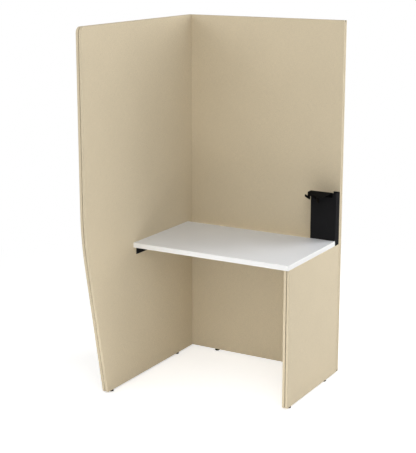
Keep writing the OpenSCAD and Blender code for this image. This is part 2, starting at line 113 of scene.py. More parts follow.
class Wiring:
    """Short ways to add and join nodes in one node tree."""

    def __init__(self, tree: bpy.types.NodeTree) -> None:
        """Keep the tree that the nodes go into."""
        self.tree = tree

    def node(self, kind: str, **settings: object) -> bpy.types.Node:
        """Add a node and set its plain settings.

        Args:
            kind: Blender's name of the node's type.
            **settings: Attributes of the node and their values.

        Returns:
            The new node.
        """
        made = self.tree.nodes.new(kind)
        for name, value in settings.items():
            setattr(made, name, value)
        return made

    def feed(self, target: Socket, source: Socket | float | Sequence[float]) -> None:
        """Join a socket to another, or give it a value.

        Args:
            target: The input socket.
            source: An output socket, or the value.
        """
        if isinstance(source, bpy.types.NodeSocket):
            self.tree.links.new(source, target)
        elif isinstance(source, (int, float)):
            target.default_value = float(source)
        else:
            values = tuple(source)
            opaque = (1.0,) if len(target.default_value) > len(values) else ()
            target.default_value = values + opaque

    def math(self, operation: str, first: Socket | float, second: Socket | float = 0.0) -> Socket:
        """Reckon with one or two values.

        Args:
            operation: Blender's name of the operation.
            first: The first value.
            second: The second value.

        Returns:
            The result.
        """
        made = self.node("ShaderNodeMath", operation=operation)
        self.feed(made.inputs[0], first)
        self.feed(made.inputs[1], second)
        return made.outputs[0]

    def blend(self, share: Socket | float, first: Socket | Colour, second: Socket | Colour,
              mode: str = "MIX") -> Socket:
        """Mix two colours.

        Args:
            share: How much of the second colour shows, from 0 to 1.
            first: The first colour.
            second: The second colour.
            mode: How they are mixed.

        Returns:
            The mixed colour.
        """
        made = self.node("ShaderNodeMix", data_type="RGBA", blend_type=mode)
        self.feed(made.inputs["Factor"], share)
        self.feed(made.inputs[6], first)
        self.feed(made.inputs[7], second)
        return made.outputs[2]

    def tones(self, share: Socket | float, colour: Colour, low: float, high: float) -> Socket:
        """Vary a colour between two factors of itself."""
        return self.blend(share, scaled(colour, low), scaled(colour, high))

    def noise(self, vector: Socket, scale: Socket | float, detail: float = 2.0,
              roughness: float = 0.5) -> Socket:
        """Add a noise texture.

        Args:
            vector: Where the noise is read, in metres.
            scale: Grains per metre.
            detail: Number of finer layers.
            roughness: Weight of the finer layers.

        Returns:
            The noise from 0 to 1.
        """
        made = self.node("ShaderNodeTexNoise")
        self.feed(made.inputs["Vector"], vector)
        self.feed(made.inputs["Scale"], scale)
        self.feed(made.inputs["Detail"], detail)
        self.feed(made.inputs["Roughness"], roughness)
        return made.outputs["Fac"]

    def streaks(self, vector: Socket, scale: Sequence[float], detail: float = 2.0,
                roughness: float = 0.5) -> Socket:
        """Add a noise texture whose grains per metre differ from axis to axis."""
        return self.noise(self.stretched(vector, scale), 1.0, detail, roughness)

    def cells(self, vector: Socket, scale: Socket | float) -> bpy.types.Node:
        """Add a Voronoi texture.

        Args:
            vector: Where the cells are read, in metres.
            scale: Cells per metre.

        Returns:
            The texture's node.
        """
        made = self.node("ShaderNodeTexVoronoi", feature="F1")
        self.feed(made.inputs["Vector"], vector)
        self.feed(made.inputs["Scale"], scale)
        return made

    def stretched(self, vector: Socket, scale: Sequence[float]) -> Socket:
        """Scale each axis of a vector.

        Args:
            vector: The vector.
            scale: The factor for each axis.

        Returns:
            The scaled vector.
        """
        made = self.node("ShaderNodeMapping")
        self.feed(made.inputs["Vector"], vector)
        made.inputs["Scale"].default_value = tuple(scale)
        return made.outputs["Vector"]

    def remap(self, value: Socket, low: float, high: float, new_low: float = 0.0,
              new_high: float = 1.0) -> Socket:
        """Move a value from one range to another and clamp it there.

        Args:
            value: The value.
            low: Where its range starts.
            high: Where its range ends.
            new_low: What it becomes at the start.
            new_high: What it becomes at the end.

        Returns:
            The moved value.
        """
        made = self.node("ShaderNodeMapRange", clamp=True)
        for index, number in enumerate((low, high, new_low, new_high), start=1):
            made.inputs[index].default_value = number
        self.feed(made.inputs[0], value)
        return made.outputs[0]


class EffectGroup:
    """A shader node group that several finishes share, built once and then placed."""

    _built: dict[str, bpy.types.NodeTree] = {}

    def __init__(self, name: str, inputs: Sequence[tuple[str, str, object]],
                 outputs: Sequence[tuple[str, str]],
                 build: Callable[[Wiring, dict[str, Socket]], dict[str, Socket]]) -> None:
        """Describe the group.

        Args:
            name: The group's name.
            inputs: Name, kind and default of each input.
            outputs: Name and kind of each output.
            build: Makes the nodes from the inputs and returns what feeds each output.
        """
        self.name = name
        self.inputs = inputs
        self.outputs = outputs
        self.build = build

    def tree(self) -> bpy.types.NodeTree:
        """Return the group's tree, and make it the first time.

        Returns:
            The tree.
        """
        if self.name in self._built:
            return self._built[self.name]
        tree = bpy.data.node_groups.new(self.name, "ShaderNodeTree")
        for name, kind, default in self.inputs:
            socket = tree.interface.new_socket(name, in_out="INPUT", socket_type=kind)
            if default is not None:
                socket.default_value = default
        for name, kind in self.outputs:
            tree.interface.new_socket(name, in_out="OUTPUT", socket_type=kind)
        wiring = Wiring(tree)
        entry = wiring.node("NodeGroupInput")
        leave = wiring.node("NodeGroupOutput")
        results = self.build(wiring, {name: entry.outputs[name] for name, _, _ in self.inputs})
        for name, socket in results.items():
            wiring.feed(leave.inputs[name], socket)
        self._built[self.name] = tree
        return tree

    def place(self, wiring: Wiring, **values: object) -> bpy.types.Node:
        """Put the group into a material.

        Args:
            wiring: The material's wiring.
            **values: An input's name in lower case with underscores, and its source or value.

        Returns:
            The group's node.
        """
        made = wiring.node("ShaderNodeGroup", node_tree=self.tree())
        for name, value in values.items():
            wiring.feed(made.inputs[name.replace("_", " ").title()], value)
        return made


FLOAT, COLOUR, VECTOR = "NodeSocketFloat", "NodeSocketColor", "NodeSocketVector"
MID_NOISE = (0.3, 0.7)


def build_weave(wiring: Wiring, given: dict[str, Socket]) -> dict[str, Socket]:
    """Weave two sets of threads over and under each other.

    Args:
        wiring: The group's wiring.
        given: Vector in metres, Pitch of a thread, Warp and Weft colours, and Slub.

    Returns:
        Color and Height.
    """
    wobble_grain, wobble_reach = 90.0, 0.9
    slub_along, slub_across, slub_height = 45.0, 900.0, 0.6
    cloud_grain, cloud_depth = 5.0, 0.012
    hollow_painted_shade, crown_painted_light = -0.14, 0.03
    wobble = wiring.noise(given["Vector"], wobble_grain)
    parts = wiring.node("ShaderNodeSeparateXYZ")
    wiring.feed(parts.inputs[0], given["Vector"])
    shift = wiring.math("MULTIPLY", wiring.math("SUBTRACT", wobble, 0.5), wobble_reach)
    waves = []
    for axis in range(2):
        count = wiring.math("DIVIDE", parts.outputs[axis], given["Pitch"])
        turn = wiring.math("MULTIPLY", wiring.math("ADD", count, shift), math.pi)
        waves.append(wiring.math("SINE", turn))
    cross = wiring.math("MULTIPLY", waves[0], waves[1])
    warp = wiring.math("ADD", wiring.math("ABSOLUTE", waves[0]), cross)
    weft = wiring.math("SUBTRACT", wiring.math("ABSOLUTE", waves[1]), cross)
    height = wiring.math("MULTIPLY", wiring.math("MAXIMUM", warp, weft), 0.5)
    on_top = wiring.math("GREATER_THAN", warp, weft)
    thread = wiring.node("ShaderNodeMix", data_type="FLOAT")
    wiring.feed(thread.inputs["Factor"], on_top)
    for index, run in enumerate(((slub_along, slub_across), (slub_across, slub_along)), start=2):
        wiring.feed(thread.inputs[index], wiring.streaks(given["Vector"], run + (slub_across,)))
    colour = wiring.blend(on_top, given["Weft"], given["Warp"])
    fibre = wiring.math("MULTIPLY", wiring.remap(thread.outputs[0], *MID_NOISE, -0.5, 0.5),
                        given["Slub"])
    cloud = wiring.remap(wiring.noise(given["Vector"], cloud_grain, detail=3.0), *MID_NOISE,
                         -cloud_depth, cloud_depth)
    # Painted shade: the hollows between the threads are painted darker, and the crowns of the
    # threads a little lighter.
    hollow = wiring.remap(height, 0.0, 0.5, hollow_painted_shade, crown_painted_light)
    tone = wiring.math("ADD", wiring.math("ADD", fibre, cloud), wiring.math("ADD", hollow, 1.0))
    grey = wiring.node("ShaderNodeCombineColor")
    for channel in range(3):
        wiring.feed(grey.inputs[channel], tone)
    return {"Color": wiring.blend(1.0, colour, grey.outputs[0], "MULTIPLY"),
            "Height": wiring.math("ADD", height, wiring.math("MULTIPLY", fibre, slub_height))}


WEAVE = EffectGroup(
    "plain_weave",
    [("Vector", VECTOR, None), ("Pitch", FLOAT, 0.001), ("Warp", COLOUR, None),
     ("Weft", COLOUR, None), ("Slub", FLOAT, 0.1)],
    [("Color", COLOUR), ("Height", FLOAT)], build_weave)


def build_coat(wiring: Wiring, given: dict[str, Socket]) -> dict[str, Socket]:
    """Grain a baked powder coat, with a few rubbed places.

    Args:
        wiring: The group's wiring.
        given: Vector in metres and the Grain in grains per metre.

    Returns:
        Height, Rub from 0 to 1, and Cloud around 0.5.
    """
    coarser, coarse_height = 0.35, 0.7
    scuff_grain, scuff_range, cloud_grain = (60.0, 60.0, 9.0), (0.62, 0.8), 14.0
    fine = wiring.noise(given["Vector"], given["Grain"], detail=3.0, roughness=0.6)
    coarse = wiring.noise(given["Vector"], wiring.math("MULTIPLY", given["Grain"], coarser))
    scuff = wiring.streaks(given["Vector"], scuff_grain, detail=4.0, roughness=0.7)
    return {"Height": wiring.math("ADD", fine, wiring.math("MULTIPLY", coarse, coarse_height)),
            "Rub": wiring.remap(scuff, *scuff_range),
            "Cloud": wiring.noise(given["Vector"], cloud_grain, detail=3.0)}


COAT = EffectGroup("powder_coat", [("Vector", VECTOR, None), ("Grain", FLOAT, 1200.0)],
                   [("Height", FLOAT), ("Rub", FLOAT), ("Cloud", FLOAT)], build_coat)


def build_board(wiring: Wiring, given: dict[str, Socket]) -> dict[str, Socket]:
    """Press wood chips into a board.

    Args:
        wiring: The group's wiring.
        given: Vector in metres.

    Returns:
        Chip, a value of its own for each chip, Fibre along the chips, and Height.
    """
    chip_grain, fibre_grain, fibre_height = (220.0, 220.0, 640.0), (90.0, 1400.0, 1400.0), 0.4
    chips = wiring.cells(wiring.stretched(given["Vector"], chip_grain), 1.0)
    shade = wiring.node("ShaderNodeSeparateColor")
    wiring.feed(shade.inputs[0], chips.outputs["Color"])
    fibre = wiring.streaks(given["Vector"], fibre_grain, detail=3.0)
    raised = wiring.math("MULTIPLY", fibre, fibre_height)
    return {"Chip": shade.outputs[0], "Fibre": fibre,
            "Height": wiring.math("ADD", chips.outputs["Distance"], raised)}


BOARD = EffectGroup("pressed_board", [("Vector", VECTOR, None)],
                    [("Chip", FLOAT), ("Fibre", FLOAT), ("Height", FLOAT)], build_board)


def build_peel(wiring: Wiring, given: dict[str, Socket]) -> dict[str, Socket]:
    """Give a smooth sheet or moulding its fine skin.

    Args:
        wiring: The group's wiring.
        given: Vector in metres, and Grain in grains per metre.

    Returns:
        Height of the skin, Cloud around 0.5, and Speck, a mask of tiny pits.
    """
    pit_share, pit_edge, pit_floor, cloud_grain = 0.6, 0.12, 0.05, 7.0
    skin = wiring.noise(given["Vector"], given["Grain"], detail=4.0, roughness=0.65)
    pits = wiring.cells(given["Vector"], wiring.math("MULTIPLY", given["Grain"], pit_share))
    cloud = wiring.noise(given["Vector"], cloud_grain, detail=4.0, roughness=0.6)
    return {"Height": skin, "Cloud": cloud,
            "Speck": wiring.remap(pits.outputs["Distance"], pit_edge, pit_floor)}


PEEL = EffectGroup("fine_skin", [("Vector", VECTOR, None), ("Grain", FLOAT, 1500.0)],
                   [("Height", FLOAT), ("Cloud", FLOAT), ("Speck", FLOAT)], build_peel)


def build_turned(wiring: Wiring, given: dict[str, Socket]) -> dict[str, Socket]:
    """Mark turned metal with fine tool lines and a mottled plating.

    Args:
        wiring: The group's wiring.
        given: Vector in metres.

    Returns:
        Line from the tool, and Mottle of the plating.
    """
    tool_grain, mottle_grain = (200.0, 200.0, 5000.0), 420.0
    return {"Line": wiring.streaks(given["Vector"], tool_grain),
            "Mottle": wiring.noise(given["Vector"], mottle_grain, detail=3.0)}


TURNED = EffectGroup("turned_metal", [("Vector", VECTOR, None)],
                     [("Line", FLOAT), ("Mottle", FLOAT)], build_turned)


def build_floor_dust(wiring: Wiring, given: dict[str, Socket]) -> dict[str, Socket]:
    """Gather a little dust towards the floor.

    Args:
        wiring: The group's wiring.
        given: Vector in metres from the floor, and Reach, how high the dust goes.

    Returns:
        Mask from 0 to 1.
    """
    patch_grain, patch_range = 60.0, (0.3, 0.75)
    parts = wiring.node("ShaderNodeSeparateXYZ")
    wiring.feed(parts.inputs[0], given["Vector"])
    height = wiring.math("DIVIDE", parts.outputs[2], given["Reach"])
    fall = wiring.math("MAXIMUM", wiring.math("SUBTRACT", 1.0, height), 0.0)
    patches = wiring.noise(given["Vector"], patch_grain, detail=4.0, roughness=0.6)
    patch = wiring.remap(patches, *patch_range)
    return {"Mask": wiring.math("MULTIPLY", fall, patch)}


FLOOR_DUST = EffectGroup("floor_dust", [("Vector", VECTOR, None), ("Reach", FLOAT, 0.05)],
                         [("Mask", FLOAT)], build_floor_dust)


# Finishes


class Shader:
    """A material while it is built: its wiring, its coordinates and its surface shader."""

    def __init__(self, name: str, coordinates: str = "Object") -> None:
        """Start a material.

        Args:
            name: The material's name.
            coordinates: The coordinates that its patterns follow.
        """
        self.material = bpy.data.materials.new(name)
        self.material.use_nodes = True
        self.wiring = Wiring(self.material.node_tree)
        self.surface = self.material.node_tree.nodes["Principled BSDF"]
        place = self.wiring.node("ShaderNodeTexCoord")
        self.vector = place.outputs[coordinates]
        self.object_vector = place.outputs["Object"]

    def set(self, **values: Socket | float | Sequence[float]) -> None:
        """Feed the surface shader.

        Args:
            **values: A socket's name in lower case with underscores, and its source or value.
        """
        names = {socket.name.lower().replace(" ", "_"): socket for socket in self.surface.inputs}
        for name, value in values.items():
            self.wiring.feed(names[name], value)

    def bump(self, height: Socket, distance: float, strength: float = 1.0) -> None:
        """Raise the surface by a height.

        Args:
            height: The height, about 0 to 1.
            distance: What a height of 1 stands for, in metres.
            strength: How strongly it shows.
        """
        made = self.wiring.node("ShaderNodeBump")
        self.wiring.feed(made.inputs["Height"], height)
        made.inputs["Distance"].default_value = distance
        made.inputs["Strength"].default_value = strength
        self.set(normal=made.outputs["Normal"])


@dataclass(frozen=True)
class Cloth:
    """Plain-woven upholstery cloth."""

    name: str
    colour: Colour
    pitch: float = 1.1 * MM
    contrast: float = 0.05
    slub: float = 0.16
    bump: float = 0.12 * MM
    dust_reach: float = 90 * MM
    dust_share: float = 0.22
    dust_shade: float = 0.72

    def material(self) -> bpy.types.Material:
        """Build the cloth, whose threads follow the piece's own flattened pattern.

        Returns:
            The material.
        """
        shader = Shader(self.name, "UV")
        wiring = shader.wiring
        weave = WEAVE.place(wiring, vector=shader.vector, pitch=self.pitch,
                            warp=scaled(self.colour, 1 + self.contrast),
                            weft=scaled(self.colour, 1 - self.contrast), slub=self.slub)
        dust = FLOOR_DUST.place(wiring, vector=shader.object_vector, reach=self.dust_reach)
        soiled = wiring.blend(wiring.math("MULTIPLY", dust.outputs["Mask"], self.dust_share),
                              weave.outputs["Color"], scaled(self.colour, self.dust_shade))
        shader.set(base_color=soiled, roughness=0.94, specular_ior_level=0.12,
                   sheen_weight=0.12, sheen_roughness=0.5)
        shader.bump(weave.outputs["Height"], self.bump, strength=0.5)
        return shader.material


@dataclass(frozen=True)
class PowderCoat:
    """Baked powder coat on sheet steel."""

    name: str
    colour: Colour
    grain: float = 1100.0
    roughness: float = 0.75
    specular: float = 0.02
    rub_share: float = 0.5
    rub_shade: float = 1.9
    rub_polish: float = 0.12

    def material(self) -> bpy.types.Material:
        """Build the coat, with its orange-peel grain and a few rubbed places.

        Returns:
            The material.
        """
        shader = Shader(self.name)
        wiring = shader.wiring
        coat = COAT.place(wiring, vector=shader.vector, grain=self.grain)
        clouded = wiring.tones(coat.outputs["Cloud"], self.colour, low=0.85, high=1.15)
        rubbed = wiring.blend(wiring.math("MULTIPLY", coat.outputs["Rub"], self.rub_share),
                              clouded, scaled(self.colour, self.rub_shade))
        shader.set(base_color=rubbed, specular_ior_level=self.specular,
                   roughness=wiring.remap(coat.outputs["Rub"], 0.0, 1.0, self.roughness,
                                          self.roughness - self.rub_polish))
        shader.bump(coat.outputs["Height"], distance=0.05 * MM, strength=0.6)
        return shader.material


@dataclass(frozen=True)
class Laminate:
    """Hard melamine sheet or edge band."""

    name: str
    colour: Colour
    roughness: float = 0.42
    grain: float = 1500.0
    speck_share: float = 0.05
    speck_shade: float = 0.8

    def material(self) -> bpy.types.Material:
        """Build the sheet, with a fine pearl skin and faint clouds.

        Returns:
            The material.
        """
        shader = Shader(self.name)
        wiring = shader.wiring
        skin = PEEL.place(wiring, vector=shader.vector, grain=self.grain)
        clouded = wiring.tones(skin.outputs["Cloud"], self.colour, low=0.985, high=1.015)
        specked = wiring.blend(wiring.math("MULTIPLY", skin.outputs["Speck"], self.speck_share),
                               clouded, scaled(self.colour, self.speck_shade))
        shader.set(base_color=specked, specular_ior_level=0.35,
                   roughness=wiring.remap(skin.outputs["Cloud"], *MID_NOISE,
                                          self.roughness - 0.04, self.roughness + 0.05))
        shader.bump(skin.outputs["Height"], distance=0.03 * MM, strength=0.35)
        return shader.material


@dataclass(frozen=True)
class Moulded:
    """Moulded plastic with a spark-eroded skin."""

    name: str
    colour: Colour
    roughness: float = 0.5
    specular: float = 0.3
    grain: float = 2600.0
    dust_reach: float = 12 * MM
    dust_share: float = 0.06
    dust_colour: Colour = srgb(120, 114, 104)
    pit_roughness: float = 0.2

    def material(self) -> bpy.types.Material:
        """Build the plastic, dusty where it is close to the floor.

        Returns:
            The material.
        """
        shader = Shader(self.name)
        wiring = shader.wiring
        skin = PEEL.place(wiring, vector=shader.vector, grain=self.grain)
        dust = FLOOR_DUST.place(wiring, vector=shader.vector, reach=self.dust_reach)
        clouded = wiring.tones(skin.outputs["Cloud"], self.colour, low=0.9, high=1.1)
        dusty = wiring.blend(wiring.math("MULTIPLY", dust.outputs["Mask"], self.dust_share),
                             clouded, self.dust_colour)
        shader.set(base_color=dusty, specular_ior_level=self.specular,
                   roughness=wiring.remap(skin.outputs["Speck"], 0.0, 1.0, self.roughness,
                                          self.roughness + self.pit_roughness))
        shader.bump(skin.outputs["Height"], distance=0.06 * MM, strength=0.5)
        return shader.material


@dataclass(frozen=True)
class PressedBoard:
    """Particle board with a thin printed skin on its faces."""

    name: str
    colour: Colour
    fibre_range: Point = (0.4, 0.75)
    fibre_share: float = 0.35
    fibre_shade: float = 0.55

    def material(self) -> bpy.types.Material:
        """Build the board, with a tone of its own for each chip.

        Returns:
            The material.
        """
        shader = Shader(self.name)
        wiring = shader.wiring
        board = BOARD.place(wiring, vector=shader.vector)
        chips = wiring.tones(board.outputs["Chip"], self.colour, low=0.72, high=1.28)
        share = wiring.remap(board.outputs["Fibre"], *self.fibre_range, 0.0, self.fibre_share)
        fibres = wiring.blend(share, chips, scaled(self.colour, self.fibre_shade))
        shader.set(base_color=fibres, roughness=0.85, specular_ior_level=0.2)
        shader.bump(board.outputs["Height"], distance=0.15 * MM, strength=0.5)
        return shader.material


@dataclass(frozen=True)
class Metal:
    """Plated or bare turned metal."""

    name: str
    colour: Colour
    roughness: float = 0.32

    def material(self) -> bpy.types.Material:
        """Build the metal, with tool lines and a mottled plating.

        Returns:
            The material.
        """
        shader = Shader(self.name)
        wiring = shader.wiring
        turned = TURNED.place(wiring, vector=shader.vector)
        mottled = wiring.tones(turned.outputs["Mottle"], self.colour, low=0.82, high=1.1)
        shader.set(base_color=mottled, metallic=1.0,
                   roughness=wiring.remap(turned.outputs["Mottle"], *MID_NOISE,
                                          self.roughness - 0.08, self.roughness + 0.12))
        shader.bump(turned.outputs["Line"], distance=0.02 * MM, strength=0.4)
        return shader.material


class Finish(Enum):
    """The finishes of the booth, each with the record's slot that it belongs to."""

    CLOTH = ("cover_fabric", Cloth("beige_cloth", srgb(217, 203, 175)))
    CORE = ("panel_board", PressedBoard("pressed_board", srgb(64, 54, 44)))
    TOP = ("white_laminate", Laminate("white_melamine", srgb(239, 242, 247)))
    BAND = ("white_edging", Laminate("white_edge_band", srgb(246, 246, 245), roughness=0.38,
                                      grain=2200.0))
    STEEL = ("black_steel", PowderCoat("black_powder_coat", srgb(34, 34, 35)))
    # Painted shade: the bracket gets a darker copy of the black steel coat, which stands in for the
    # shade that it lies in.
    HOOK = ("black_steel", PowderCoat("black_hook_coat", srgb(11, 11, 11), grain=1500.0,
                                       roughness=0.7))
    SCREW = ("black_screw", PowderCoat("black_screw_finish", srgb(22, 22, 22), grain=3000.0,
                                        roughness=0.5, specular=0.06))
    ZINC = ("zinc_steel", Metal("bright_zinc", srgb(205, 206, 208)))
    BRASS = ("brass_nut", Metal("turned_brass", srgb(214, 178, 96), roughness=0.3))
    CAP = ("cap_plastic", Moulded("beige_cap", srgb(206, 191, 161)))
    NYLON = ("black_plastic", Moulded("black_nylon", srgb(9, 9, 9), roughness=0.6,
                                         specular=0.05))

    def __init__(self, slot: str, recipe: object) -> None:
        """Keep what the finish is made from.

        Args:
            slot: The slot's name in the record.
            recipe: What makes the material, once, at its first use.
        """
        self.slot = slot
        self.recipe = recipe
        self.made: bpy.types.Material | None = None

    def dress(self, piece: bpy.types.Object) -> None:
        """Give a piece this finish all over.

        Args:
            piece: The piece, new or from the construction.
        """
        if self.made is None:
            self.made = self.recipe.material()
        piece.data.materials.clear()
        piece.data.materials.append(self.made)


# The bench on which pieces are modelled


class Bench:
    """Blender's modelling operators, used one piece at a time."""

    @staticmethod
    def clear() -> None:
        """Leave edit mode and deselect everything."""
        if bpy.context.object and bpy.context.object.mode != "OBJECT":
            bpy.ops.object.mode_set(mode="OBJECT")
        bpy.ops.object.select_all(action="DESELECT")

    @staticmethod
    def take(piece: bpy.types.Object) -> None:
        """Select one piece and make it the active one.

        Args:
            piece: The piece.
        """
        Bench.clear()
        bpy.context.view_layer.objects.active = piece
        piece.select_set(True)

    @staticmethod
    def named(name: str) -> bpy.types.Object:
        """Name the primitive just added, and put its place into its mesh.

        Args:
            name: The name.

        Returns:
            The piece.
        """
        piece = bpy.context.object
        piece.name = name
        bpy.ops.object.transform_apply(location=True, rotation=True, scale=True)
        return piece

    @staticmethod
    def cube(name: str, low: Sequence[float], high: Sequence[float]) -> bpy.types.Object:
        """Add a box between two corners.

        Args:
            name: The piece's name.
            low: Its lowest corner.
            high: Its highest corner.

        Returns:
            The piece, at the origin and unscaled, with its place in its mesh.
        """
        Bench.clear()
        middle = [(a + b) / 2 for a, b in zip(low, high)]
        bpy.ops.mesh.primitive_cube_add(size=1, location=middle)
        bpy.context.object.scale = [b - a for a, b in zip(low, high)]
        return Bench.named(name)

    @staticmethod
    def rod(name: str, centre: Sequence[float], radius: float, length: float, sides: int,
            axis: str = "Z") -> bpy.types.Object:
        """Add a rod.

        Args:
            name: The piece's name.
            centre: The middle of the rod.
            radius: Its radius to its corners.
            length: Its length.
            sides: Number of its sides.
            axis: The direction that it runs in, Y or Z.

        Returns:
            The piece.
        """
        Bench.clear()
        turn = {"Y": (math.pi / 2, 0, 0), "Z": (0, 0, 0)}[axis]
        bpy.ops.mesh.primitive_cylinder_add(vertices=sides, radius=radius, depth=length,
                                            location=tuple(centre), rotation=turn)
        return Bench.named(name)

    @staticmethod
    def edit(piece: bpy.types.Object, kind: str) -> bmesh.types.BMesh:
        """Open a piece in edit mode with nothing selected.

        Args:
            piece: The piece.
            kind: VERT, EDGE or FACE.

        Returns:
            The mesh that is edited.
        """
        if piece.mode != "EDIT":
            Bench.take(piece)
            bpy.ops.object.mode_set(mode="EDIT")
        bpy.ops.mesh.select_mode(type=kind)
        bpy.ops.mesh.select_all(action="DESELECT")
        return bmesh.from_edit_mesh(piece.data)

    @staticmethod
    def pick(piece: bpy.types.Object, kind: str, test: Callable[[Part], bool]) -> int:
        """Select the corners, edges or faces that pass a test.

        Args:
            piece: The piece, which is left in edit mode.
            kind: VERT, EDGE or FACE.
            test: Says whether one of them is selected.

        Returns:
            How many are selected.
        """
        mesh = Bench.edit(piece, kind)
        parts = {"VERT": mesh.verts, "EDGE": mesh.edges, "FACE": mesh.faces}[kind]
        chosen = [part for part in parts if test(part)]
        for part in chosen:
            part.select_set(True)
        bmesh.update_edit_mesh(piece.data)
        return len(chosen)

    @staticmethod
    def modify(piece: bpy.types.Object, kind: str, **settings: object) -> None:
        """Add a modifier and apply it.

        Args:
            piece: The piece.
            kind: The modifier's type.
            **settings: Its attributes and their values.
        """
        Bench.take(piece)
        added = piece.modifiers.new(kind.lower(), kind)
        for name, value in settings.items():
            setattr(added, name, value)
        bpy.ops.object.modifier_apply(modifier=added.name)

    @staticmethod
    def carve(piece: bpy.types.Object, cutters: Iterable[bpy.types.Object],
              operation: str = "DIFFERENCE") -> None:
        """Cut other shapes out of a piece, or add them to it, and use the shapes up.

        Args:
            piece: The piece.
            cutters: The other shapes.
            operation: DIFFERENCE to cut them out, UNION to add them.
        """
        for cutter in cutters:
            Bench.modify(piece, "BOOLEAN", operation=operation, object=cutter, solver="EXACT")
            bpy.data.objects.remove(cutter, do_unlink=True)

    @staticmethod
    def finish(piece: bpy.types.Object, angle: float = 40.0) -> bpy.types.Object:
        """Merge doubles, point faces outwards and shade smooth below an angle.

        Args:
            piece: The piece.
            angle: The angle in degrees above which an edge stays sharp.

        Returns:
            The piece.
        """
        Bench.edit(piece, "VERT")
        bpy.ops.mesh.select_all(action="SELECT")
        bpy.ops.mesh.remove_doubles(threshold=WELD)
        bpy.ops.mesh.normals_make_consistent(inside=False)
        Bench.take(piece)
        bpy.ops.object.shade_smooth_by_angle(angle=math.radians(angle))
        return piece


def settle(piece: bpy.types.Object, body: str, finish: Finish, *nodes: str) -> None:
    """Dress a new piece, put it on its body and let it stand for construction nodes.

    Args:
        piece: The new piece.
        body: The body that it rides on.
        finish: Its finish.
        *nodes: The nodes that it replaces.
    """
    finish.dress(piece)
    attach(piece, body)
    if nodes:
        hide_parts(*nodes)
    LOG.info("%s rides on %s, %d faces", piece.name, body, len(piece.data.polygons))


# Covered screens


class Stand(Enum):
    """Which way a screen stands: its width runs along Y or along X."""

    ALONG_Y = "along_y"
    ALONG_X = "along_x"


@dataclass(frozen=True)
class Corner:
    """A corner of a screen's outline."""

    across: float
    up: float
    radius: float


@dataclass(frozen=True)
class RimStep:
    """A ring of a cover's rim: its height over the middle plane, how far it is drawn in,
    and how far along the cloth it lies from the edge of the flat face."""

    height: float
    inset: float
    travel: float


